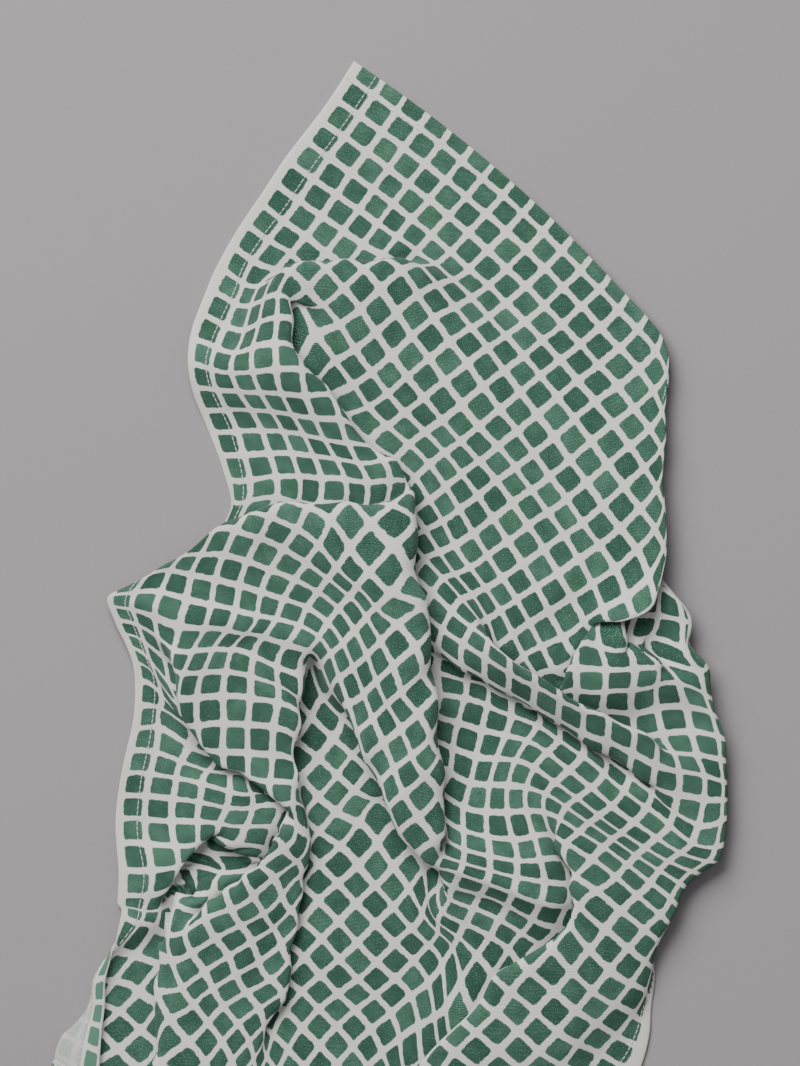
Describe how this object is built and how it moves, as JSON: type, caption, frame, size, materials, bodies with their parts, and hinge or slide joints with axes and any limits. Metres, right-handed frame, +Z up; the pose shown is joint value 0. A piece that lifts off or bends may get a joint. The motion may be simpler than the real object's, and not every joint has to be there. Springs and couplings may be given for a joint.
{
  "type": "tea towel",
  "caption": "Cotton tea towel with a green block-printed square check, dropped in loose folds and pleats, reverse showing at one corner.",
  "frame": {"origin": "middle of the bounding box at the level of the surface that the towel lies on", "axes": "+Z up from the surface, +Y along the towel towards its upper hem, +X towards its right side as the picture shows it"},
  "size_m": [0.3376, 0.7644, 0.025],
  "materials": {
    "printed_cotton": "soft matt cotton twill, off-white with a dark green print"
  },
  "bodies": {
    "root": {"cloth": "printed_cotton"}
  },
  "joints": []
}
